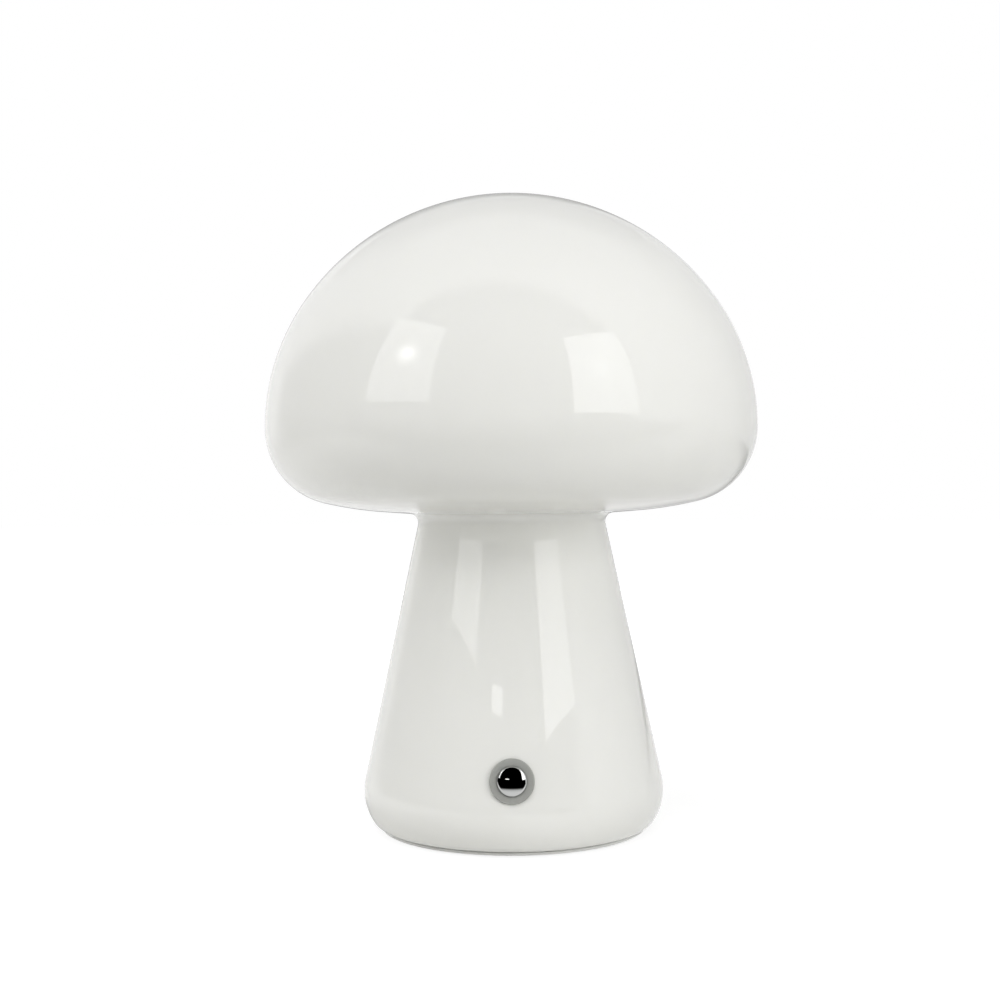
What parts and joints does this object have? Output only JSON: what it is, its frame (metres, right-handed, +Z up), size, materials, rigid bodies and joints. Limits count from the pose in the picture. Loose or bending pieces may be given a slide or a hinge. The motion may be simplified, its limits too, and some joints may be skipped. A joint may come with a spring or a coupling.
{
  "type": "mushroom table lamp",
  "caption": "Cordless mushroom table lamp: one-piece blown opal glass cap and stem, a chrome push button in a grey ring, and a white base plate.",
  "frame": {"origin": "middle of the foot's underside, on the lamp's axis", "axes": "+Z up along the lamp's axis, -Y out of the button, +X to the right seen from the button's side"},
  "size_m": [0.155, 0.155, 0.2],
  "materials": {
    "opal_glass": "blown opal glass, glossy white",
    "white_plastic": "moulded ABS, satin white",
    "grey_silicone": "matt moulded silicone",
    "clear_silicone": "translucent silicone",
    "ballast_steel": "zinc plated steel",
    "screw_steel": "zinc plated steel",
    "spring_steel": "stainless spring wire",
    "cell_sleeve": "shrink sleeve over a steel can",
    "contact_nickel": "nickel strip",
    "sink_aluminium": "pressed aluminium",
    "board_white": "white solder mask",
    "board_green": "green solder mask",
    "led_phosphor": "phosphor in white frames",
    "frosted_plastic": "frosted polycarbonate",
    "chip_black": "moulded epoxy",
    "button_chrome": "polished chrome plate",
    "ring_plastic": "matt translucent grey",
    "socket_steel": "nickel plated steel",
    "lead_red": "PVC insulation",
    "lead_white": "PVC insulation",
    "lead_black": "PVC insulation"
  },
  "bodies": {
    "lamp": {"glass_body": "opal_glass", "base_plate": "white_plastic", "foot_pad": "grey_silicone", "mouth_gasket": "clear_silicone", "base_tub": "white_plastic", "ballast_weight": "ballast_steel", "column": "white_plastic", "cell_cap": "white_plastic", "column_screws": "screw_steel", "base_screws": "screw_steel", "board_screws": "screw_steel", "led_screws": "screw_steel", "battery_cell": "cell_sleeve", "bottom_contact": "contact_nickel", "top_contact": "contact_nickel", "led_carrier": "white_plastic", "heat_sink": "sink_aluminium", "led_board": "board_white", "led_chips": "led_phosphor", "diffuser": "frosted_plastic", "main_board": "board_green", "board_parts": "chip_black", "board_connectors": "white_plastic", "button_ring": "ring_plastic", "button_washer": "clear_silicone", "button_nut": "white_plastic", "button_spring": "spring_steel", "switch_housing": "white_plastic", "switch_body": "chip_black", "switch_terminals": "contact_nickel", "port_body": "ring_plastic", "port_washer": "clear_silicone", "port_nut": "white_plastic", "port_shell": "socket_steel", "port_tongue": "chip_black", "port_board": "board_green", "port_terminals": "contact_nickel", "led_leads": "lead_red", "switch_leads": "lead_white", "port_leads": "lead_black"},
    "button": {"button": "button_chrome", "button_clip": "screw_steel", "switch_plunger": "chip_black"}
  },
  "joints": [
    {"name": "button_push", "type": "slide", "parent": "lamp", "child": "button", "axis": [0, 0.9778, -0.2096], "range_m": [0, 0.001], "stiffness_N_per_m": 500, "springref_m": -0.001, "deforming": ["button_spring"]}
  ]
}
